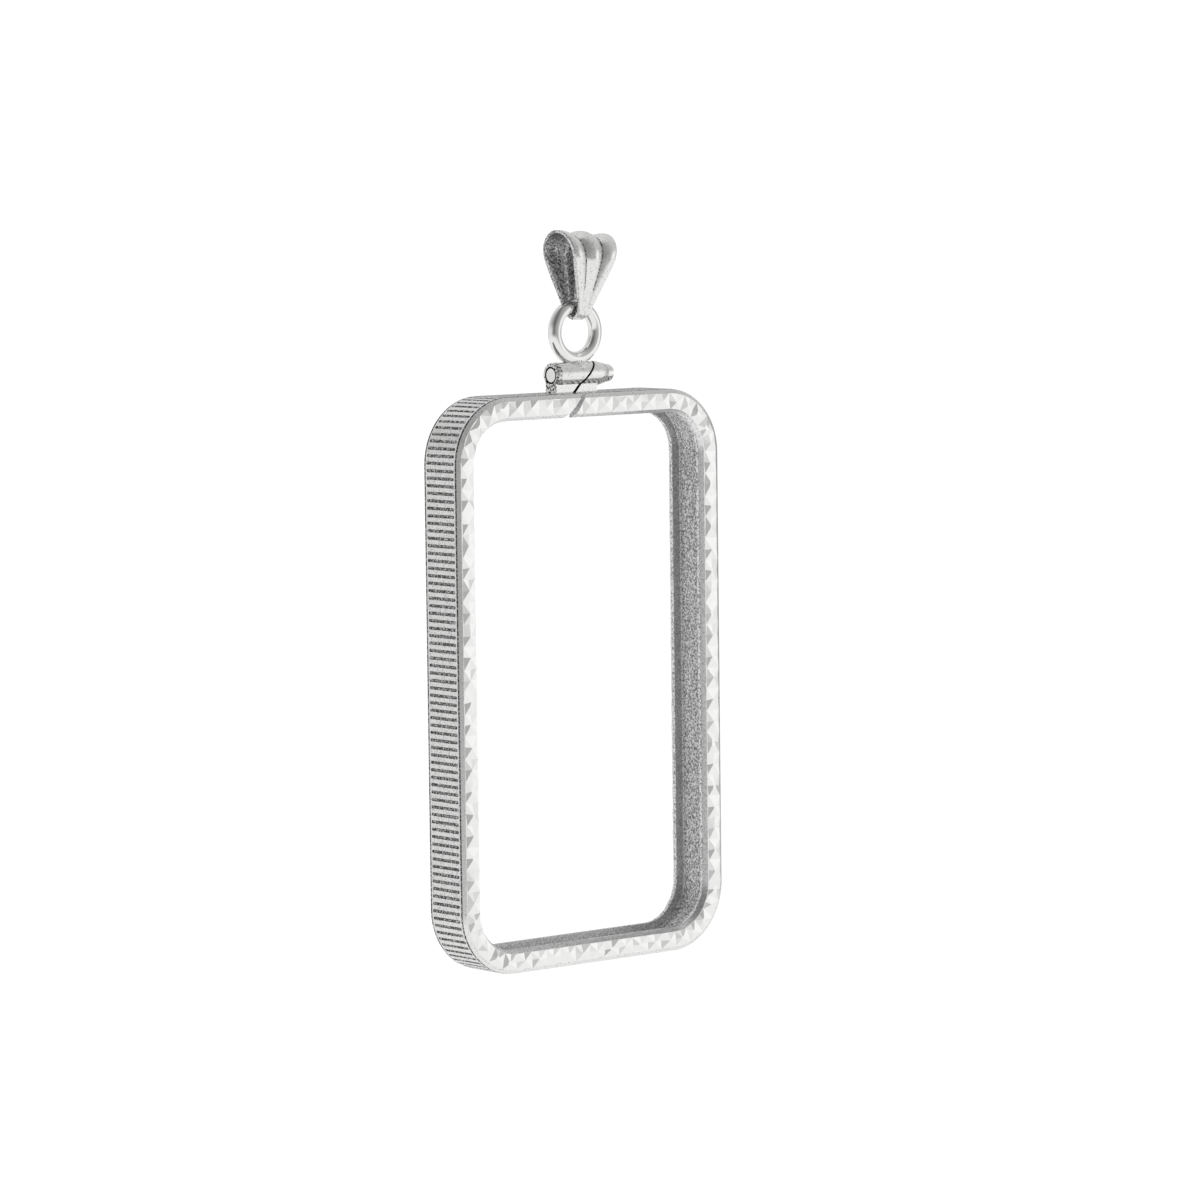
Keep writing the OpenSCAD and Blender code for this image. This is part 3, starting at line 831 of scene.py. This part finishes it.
class BEZEL_OT_screw(Operator):
    """Make the closure's threaded screw with its slotted head"""

    bl_idname = "bezel.screw"
    bl_label = "Closure screw"

    # Length over which the thread runs out at each end, and the chamfer under the head
    RUNOUT, CHAMFER_R, CHAMFER_L = 0.25 * MM, 0.03 * MM, 0.04 * MM

    def execute(self, context):
        part, tint = context.scene.bezel_closure, context.scene.bezel_finish
        # Buffed sterling on the head, tip and thread
        buffed = silver("screw", tint.buffed, 0.09, 0.4, 0.003)
        # The slot keeps the saw's dull cut, darkened with painted shade
        sawn = silver("sawn", tint.groove, 0.35, 0.1, 0.01, "#5A5A5A")
        start = centre().x
        tip, head_end = SCREW_LOW.x - start, SCREW_HIGH.x - start
        screw = self.shank(part, tip, head_end - part.head_l, head_end, buffed)
        slot = block(
            "slot",
            (head_end - part.slot_d, -2 * part.head_r, -part.slot_w / 2),
            (head_end + part.slot_d, 2 * part.head_r, part.slot_w / 2),
            Matrix.Translation((0, 0, axis_height())),
            sawn,
        )
        carve(screw, "DIFFERENCE", slot)
        finish(screw, "closure_screw_silver", "screw", "closure_screw")
        return {"FINISHED"}

    def shank(self, part, tip, head_start, head_end, material, steps=36, rows=9):
        """The thread as a radius that rises and falls with length and angle, then the head's dome."""
        middle, round_turn = axis_height(), circle(steps)
        length_rows = round((head_start - tip) / part.thread_pitch * rows)
        rings = []
        for i in range(length_rows + 1):
            x = tip + (head_start - tip) * i / length_rows
            fade = min(1, (x - tip) / self.RUNOUT, (head_start - x) / self.RUNOUT)
            ring = []
            for k, (c, s) in enumerate(round_turn):
                wave = ((x - tip) / part.thread_pitch - k / steps) % 1
                radius = part.shank_r - part.thread_d * fade * abs(2 * wave - 1)
                ring.append((x, radius * c, middle + radius * s))
            rings.append(ring)
        turn = part.head_round
        head = [(part.head_r - self.CHAMFER_R, head_start), (part.head_r, head_start + self.CHAMFER_L)]
        head += [(part.head_r - turn + out, head_end - turn + up) for out, up in arc(turn, range(0, 91, 15))]
        rings += [[(x, radius * c, middle + radius * s) for c, s in round_turn] for radius, x in head]
        return solid("screw", *capped(rings, (tip, 0, middle), (head_end, 0, middle)), [material])


class BEZEL_OT_bail(Operator):
    """Make the fluted bail on the ring"""

    bl_idname = "bezel.bail"
    bl_label = "Bail"

    # Steps round the loop's lower circle, its straight sides and its top
    LOW, SIDE, TOP = 14, 24, 26
    # Steps across each outer rib, across half the middle rib, and round the strip's edge
    OUTER, MIDDLE, RIM = 16, 14, 5
    # Shares of the way up at which the lower circle ends and the top starts
    LOW_SHARE, TOP_SHARE = 0.13, 0.62
    # From this share of the way up, the flutes' bottoms carry painted shade: a dark broken line
    DARK_SHARE = 0.3
    # Radius of the strip's rounded edge
    RIM_R = 0.07 * MM
    # How the strip widens: where its rounded tip starts, how fast it grows, and the power of its flare
    TIP_START, TIP_GROWTH, FLARE = 0.35, 6, 1.5
    # How the ribs rise: their share of the full height at the tip, and how fast they gain it
    RIB_START, RIB_GROWTH = 0.1, 1.1

    def execute(self, context):
        size, part, tint = (getattr(context.scene, "bezel_" + name) for name in ("bail", "closure", "finish"))
        # Buffed sterling on the ribs, with tarnish specks where the wheel rides over the stamping's grain
        outside = silver("bail", tint.buffed, 0.13, 0.16, 0.004, "#C6C6C6", (0.3, 0.46))
        # Stamped sterling inside, never polished: grey, matt and coarse
        inside = silver("stamped", tint.stamped, 0.42, 0.14, 0.03, "#686868", (0.42, 0.58))
        # Filed edges: bright, with the file's pits left in them
        edge = silver("filed", tint.land, 0.3, 0.1, 0.02, "#707070", (0.38, 0.5))
        # The bottoms of the two flutes: a dark broken line of painted shade
        valley = silver("flute", tint.stamped, 0.3, 0.1, 0.02, "#484848", (0.42, 0.58))
        half = self.half_loop(size)
        loop = [(-y, z, -ny, nz, t) for y, z, ny, nz, t in half] + half[-2:0:-1]
        sag = part.ring_r - math.sqrt(part.ring_r**2 - size.off**2)
        on_wire = Matrix.Translation((part.ring_x + size.off, 0, wire_height() - sag))
        place = on_wire @ Matrix.Rotation(size.lean, 4, "Y")
        points, faces = looped([self.section(size, station) for station in loop])
        kinds = [kind for station in loop for kind in self.kinds(station)]
        bail = solid("bail", points, faces, [outside, inside, edge, valley], kinds, place)
        finish(bail, "bail_silver", "bail", "bail", sharp=38)
        return {"FINISHED"}

    def half_loop(self, size):
        """Stations of the loop from tip to top: y, z, the direction outwards, and the share of the way up."""
        top_mid = size.height - size.rib_h - size.top_r
        inner_r = size.top_r - size.wall
        tilt = math.asin((inner_r - size.low_r) / top_mid)
        turns = []
        for i in range(self.LOW):
            share = i / self.LOW
            angle = -math.pi / 2 + (math.pi / 2 - tilt) * share
            turns.append((size.low_r, 0, angle, self.LOW_SHARE * share))
        for i in range(self.SIDE):
            share = i / self.SIDE
            radius = size.low_r + (inner_r - size.low_r) * share
            way = self.LOW_SHARE + (self.TOP_SHARE - self.LOW_SHARE) * share
            turns.append((radius, top_mid * share, -tilt, way))
        for i in range(self.TOP + 1):
            share = i / self.TOP
            angle = -tilt + (math.pi / 2 + tilt) * share
            turns.append((inner_r, top_mid, angle, self.TOP_SHARE + (1 - self.TOP_SHARE) * share))
        return [
            (radius * math.cos(angle), up + radius * math.sin(angle), math.cos(angle), math.sin(angle), share)
            for radius, up, angle, share in turns
        ]

    def kinds(self, station):
        """Finish numbers round the strip's section: outside, filed rim, inside and the other rim. The flutes'
        bottoms carry painted shade on the upper part, and the left rim is filed on the front only."""
        y, share = station[0], station[4]
        across = 2 * (self.OUTER + self.MIDDLE)
        outer = [0] * across
        if share > self.DARK_SHARE:
            for column in (self.OUTER, across - self.OUTER):
                outer[column - 1] = outer[column] = 3
        rim = self.RIM + 1
        return outer + [2] * rim + [1] * across + [2 if y < 0 else 1] * rim

    def section(self, size, station):
        """The strip's section at a station: its outer side, a rounded rim, its inner side, the other rim."""
        y, z, out_y, out_z, share = station
        tip_round = math.sqrt(1 - (1 - min(1, self.TIP_START + self.TIP_GROWTH * share)) ** 2)
        flare = math.sin(math.pi / 2 * share) ** self.FLARE
        width = size.tip_w * tip_round + (size.top_w - size.tip_w) * flare
        rise = size.rib_h * min(1, self.RIB_START + self.RIB_GROWTH * share)
        tip = (1 - min(1, share / self.LOW_SHARE)) ** 2
        wall = size.wall + size.belly * math.sin(math.pi * share) ** 2 + size.tip_extra * tip
        apart = size.rib_apart + size.rib_spread * share**4
        rim = min(self.RIM_R, width / 4)

        def at(across, off):
            return (across, y + off * out_y, z + off * out_z)

        def flute(x):
            return rise * (1 - size.rib_drop * x * x) * abs(math.cos(math.pi * x / apart))

        spread, valley = 1 - rim / width, apart / 2
        middle = [valley * j / self.MIDDLE for j in range(self.MIDDLE)]
        side = middle + [valley + (spread - valley) * j / self.OUTER for j in range(self.OUTER + 1)]
        crosses = [-x for x in reversed(side)] + side[1:]
        edge = flute(spread)
        outer = [at(x * width, flute(x) + wall) for x in crosses]
        inner = [at(x * width, flute(x)) for x in reversed(crosses)]
        bend = [math.pi * k / (self.RIM + 1) for k in range(1, self.RIM + 1)]
        right = [at(width - rim + rim * math.sin(a), edge + wall / 2 + wall / 2 * math.cos(a)) for a in bend]
        left = [at(-width + rim - rim * math.sin(a), edge + wall / 2 - wall / 2 * math.cos(a)) for a in bend]
        return outer + right + inner + left


class BEZEL_OT_stage(Operator):
    """Set the pale floor, the soft studio surroundings and the camera"""

    bl_idname = "bezel.stage"
    bl_label = "Stage and camera"

    # The camera's place round the frame's centre, and how far it is set off to the side and up
    AZIMUTH, ELEVATION, ROLL = math.radians(-40.445), math.radians(5.028), math.radians(-0.696)
    DISTANCE, ASIDE, ABOVE = 388.927 * MM, 1.784 * MM, 5.754 * MM
    LENS, SENSOR, CLIP_NEAR, CLIP_FAR = 156.48, 36, 0.01, 10
    # Height of the floor, and how far it reaches each way
    FLOOR, FLOOR_REACH = -75 * MM, 3.0
    # Brightness of the white sweep as the camera sees it
    SWEEP = (1.12, 1.12, 1.12, 1.0)

    def execute(self, context):
        self.floor()
        self.camera(context)
        self.surroundings(context)
        return {"FINISHED"}

    def floor(self):
        """A wide sheet of white paper under the pendant."""
        mesh = bpy.data.meshes.new("floor")
        corners = [(x, y, self.FLOOR) for x, y in ((-1, -1), (1, -1), (1, 1), (-1, 1))]
        mesh.from_pydata(corners, [], [(0, 1, 2, 3)])
        mesh.transform(Matrix.Diagonal((self.FLOOR_REACH, self.FLOOR_REACH, 1, 1)))
        # Matt white paper sweep: pale and plain
        paper = bpy.data.materials.new("matt_white_paper")
        paper.use_nodes = True
        shader = paper.node_tree.nodes["Principled BSDF"]
        shader.inputs["Base Color"].default_value = linear("#F7F7F7")
        shader.inputs["Roughness"].default_value = 1.0
        shader.inputs["Specular IOR Level"].default_value = 0.0
        mesh.materials.append(paper)
        floor = new_object("floor", mesh)
        # The silver mirrors the studio's pale ground and not this sheet
        floor.visible_glossy = False

    def camera(self, context):
        """The camera in front of the frame, a little to its left and above."""
        turn, rise = self.AZIMUTH, self.ELEVATION
        back = Vector((math.sin(turn) * math.cos(rise), -math.cos(turn) * math.cos(rise), math.sin(rise)))
        level = Vector((math.cos(turn), math.sin(turn), 0))
        upright = back.cross(level)
        right = level * math.cos(self.ROLL) + upright * math.sin(self.ROLL)
        up = back.cross(right)
        camera = new_object("camera", bpy.data.cameras.new("camera"))
        place = Matrix((right, up, back)).transposed().to_4x4()
        place.translation = centre() + back * self.DISTANCE + right * self.ASIDE + up * self.ABOVE
        camera.matrix_world = place
        camera.data.lens = self.LENS
        camera.data.sensor_width = self.SENSOR
        camera.data.clip_start = self.CLIP_NEAR
        camera.data.clip_end = self.CLIP_FAR
        context.scene.camera = camera

    def ramp(self, tree, value, stops):
        """A colour ramp over a turn from -180 to 180 degrees, from rows of degrees and sRGB grey. The first
        two rows are its two ends."""
        node = add(tree, "ShaderNodeValToRGB", {"Fac": value})
        elements = node.color_ramp.elements
        for index, (degrees, tone) in enumerate(stops):
            place = (degrees + 180) / 360
            stop = elements[index] if index < 2 else elements.new(place)
            stop.position = place
            stop.color = linear("#" + f"{tone:02X}" * 3)
        return node

    def surroundings(self, context):
        """What the silver mirrors: a plain studio of a few broad soft tones, with a dimmer ceiling and a pale
        ground."""
        world = bpy.data.worlds.new("studio")
        context.scene.world = world
        world.use_nodes = True
        tree = world.node_tree
        tree.nodes.clear()
        where = add(tree, "ShaderNodeTexCoord").outputs["Generated"]
        parts = add(tree, "ShaderNodeSeparateXYZ", {"Vector": where}).outputs
        front = add(tree, "ShaderNodeMath", {0: parts["Y"], 1: -1.0}, operation="MULTIPLY")
        angle = add(tree, "ShaderNodeMath", {0: parts["X"], 1: front}, operation="ARCTAN2")
        turn = add(
            tree, "ShaderNodeMapRange", {"Value": angle, "From Min": -math.pi, "From Max": math.pi}
        )
        # White sweep behind, a dim card at the front left, a soft box at the front right and the open room
        # beside it
        ends = [(-180, 225), (180, 225)]
        stops = [(-100, 225), (-55, 110), (0, 175), (20, 175), (40, 250), (65, 250), (90, 160)]
        around = self.ramp(tree, turn, ends + stops)
        # Ceiling: bright over the sweep, and dim over the card so that facets turned upwards still differ
        ceiling = self.ramp(tree, turn, ends + [(-55, 95), (45, 190)])
        # The ceiling starts above the first pair of heights and the pale ground below the second
        rise, drop = (
            add(
                tree,
                "ShaderNodeMapRange",
                {"Value": parts["Z"], "From Min": start, "From Max": end},
                interpolation_type="SMOOTHSTEP",
            )
            for start, end in ((0.08, 0.48), (-0.05, -0.3))
        )
        upper = add(tree, "ShaderNodeMix", {"Factor": rise, "A": around, "B": ceiling}, data_type="RGBA")
        ground = {"Factor": drop, "A": upper, "B": linear("#F0F0F0")}
        room = add(tree, "ShaderNodeMix", ground, data_type="RGBA")
        # Mirrored light comes from the room, and the white sweep shows to the camera and lights the floor
        mirrored = add(tree, "ShaderNodeLightPath").outputs["Is Glossy Ray"]
        tone = add(tree, "ShaderNodeMix", {"Factor": mirrored, "A": self.SWEEP, "B": room}, data_type="RGBA")
        light = add(tree, "ShaderNodeBackground", {"Color": tone, "Strength": 1.0})
        add(tree, "ShaderNodeOutputWorld", {"Surface": light})
        context.scene.view_settings.view_transform = "Standard"


class BEZEL_PT_pieces(Panel):
    """Lists the pieces in the sidebar."""

    bl_idname = "BEZEL_PT_pieces"
    bl_label = "Bar bezel"
    bl_space_type = "VIEW_3D"
    bl_region_type = "UI"
    bl_category = "Bezel"

    def draw(self, context):
        for operator in OPERATORS:
            self.layout.operator(operator.bl_idname)
        for name, _ in GROUPS:
            group = getattr(context.scene, name)
            box = self.layout.box()
            for key in group.bl_rna.properties.keys():
                if key not in ("rna_type", "name"):
                    box.prop(group, key)


OPERATORS = (BEZEL_OT_band, BEZEL_OT_screw, BEZEL_OT_bail, BEZEL_OT_stage)
GROUPS = (
    ("bezel_band", BandSizes),
    ("bezel_closure", ClosureSizes),
    ("bezel_bail", BailSizes),
    ("bezel_finish", FinishColours),
)


def register():
    for name, group in GROUPS:
        bpy.utils.register_class(group)
        setattr(bpy.types.Scene, name, PointerProperty(type=group))
    for kind in (*OPERATORS, BEZEL_PT_pieces):
        bpy.utils.register_class(kind)


def unregister():
    for kind in (BEZEL_PT_pieces, *reversed(OPERATORS)):
        bpy.utils.unregister_class(kind)
    for name, group in reversed(GROUPS):
        delattr(bpy.types.Scene, name)
        bpy.utils.unregister_class(group)


def main():
    register()
    bpy.ops.bezel.band()
    bpy.ops.bezel.screw()
    bpy.ops.bezel.bail()
    bpy.ops.bezel.stage()


if __name__ == "__main__":
    main()
